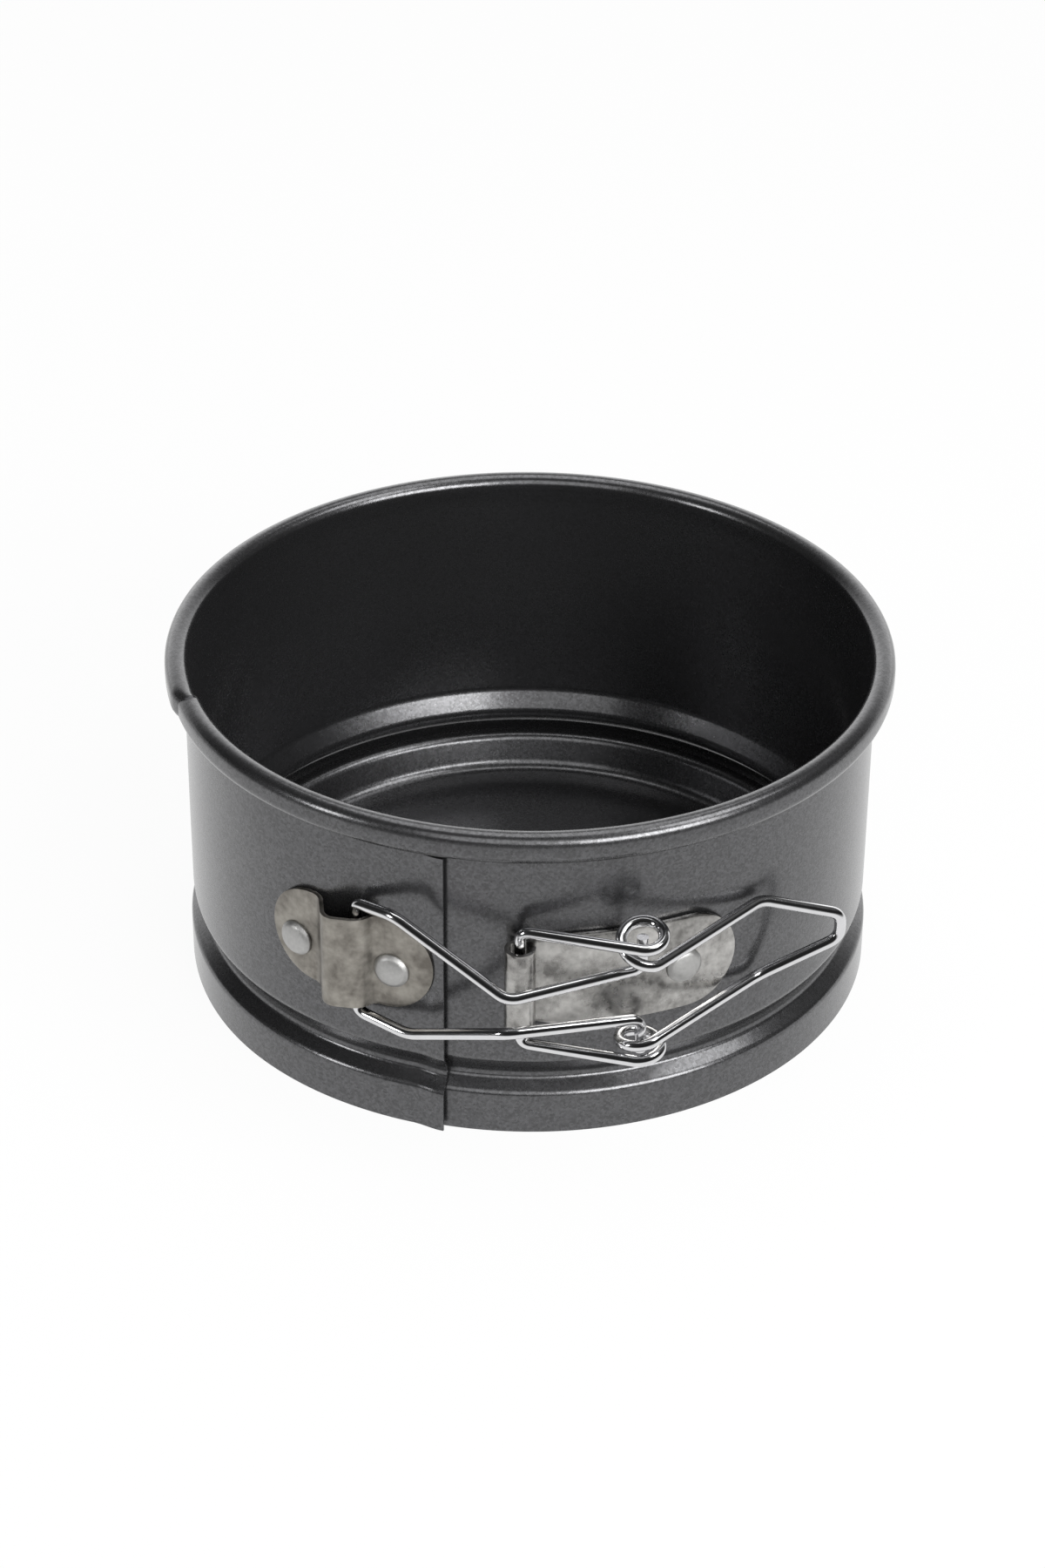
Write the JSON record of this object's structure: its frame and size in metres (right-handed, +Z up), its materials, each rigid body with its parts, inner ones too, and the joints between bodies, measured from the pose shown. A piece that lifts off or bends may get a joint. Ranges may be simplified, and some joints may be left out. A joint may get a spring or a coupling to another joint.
{
  "type": "loose-base cake tin",
  "caption": "Small round loose-base cake tin in dark non-stick steel, with a sprung side band, a rolled rim and an over-centre wire latch",
  "frame": {"origin": "on the tin's axis, in the underside of the base plate, which is the face it rests on", "axes": "+Z up along the tin's axis, -Y towards the front where the latch is, +X to the right as seen from the front"},
  "size_m": [0.1276, 0.1363, 0.061],
  "materials": {
    "coating": "semi-gloss graphite non-stick coating with a fine sparkle",
    "bracket_steel": "plain pressed steel, slightly dull and blotchy",
    "rivet": "satin",
    "wire": "bright plated round wire"
  },
  "bodies": {
    "base": {"base_plate": "coating"},
    "ring": {"side_band": "coating", "lever_bracket": "bracket_steel", "lever_rivet": "rivet"},
    "outer_end": {"side_band_outer_end": "coating", "link_bracket": "bracket_steel", "link_rivet_left": "rivet", "link_rivet_right": "rivet"},
    "lever": {"lever_wire": "wire"},
    "link": {"link_wire": "wire"}
  },
  "joints": [
    {"name": "ring_lift", "type": "slide", "parent": "base", "child": "ring", "axis": [0, 0, 1], "range_m": [0, 0.07]},
    {"name": "lever_pivot", "type": "hinge", "parent": "ring", "child": "lever", "pos_m": [-0.00133, -0.06339, 0.0317], "axis": [0, 0, -1], "range_deg": [0, 120]},
    {"name": "band_spring", "type": "hinge", "parent": "ring", "child": "outer_end", "pos_m": [0, 0.0641, 0.0317], "axis": [0, 0, -1], "range_deg": [0, 10.26]},
    {"name": "link_pivot", "type": "hinge", "parent": "outer_end", "child": "link", "pos_m": [-0.0285, -0.05641, 0.0317], "axis": [0, 0, -1], "range_deg": [0, 19.12]}
  ],
  "couplings": [
    {"joint": "band_spring", "follows": "lever_pivot", "ratio": 0.085422},
    {"joint": "link_pivot", "follows": "lever_pivot", "ratio": 0.15929}
  ]
}
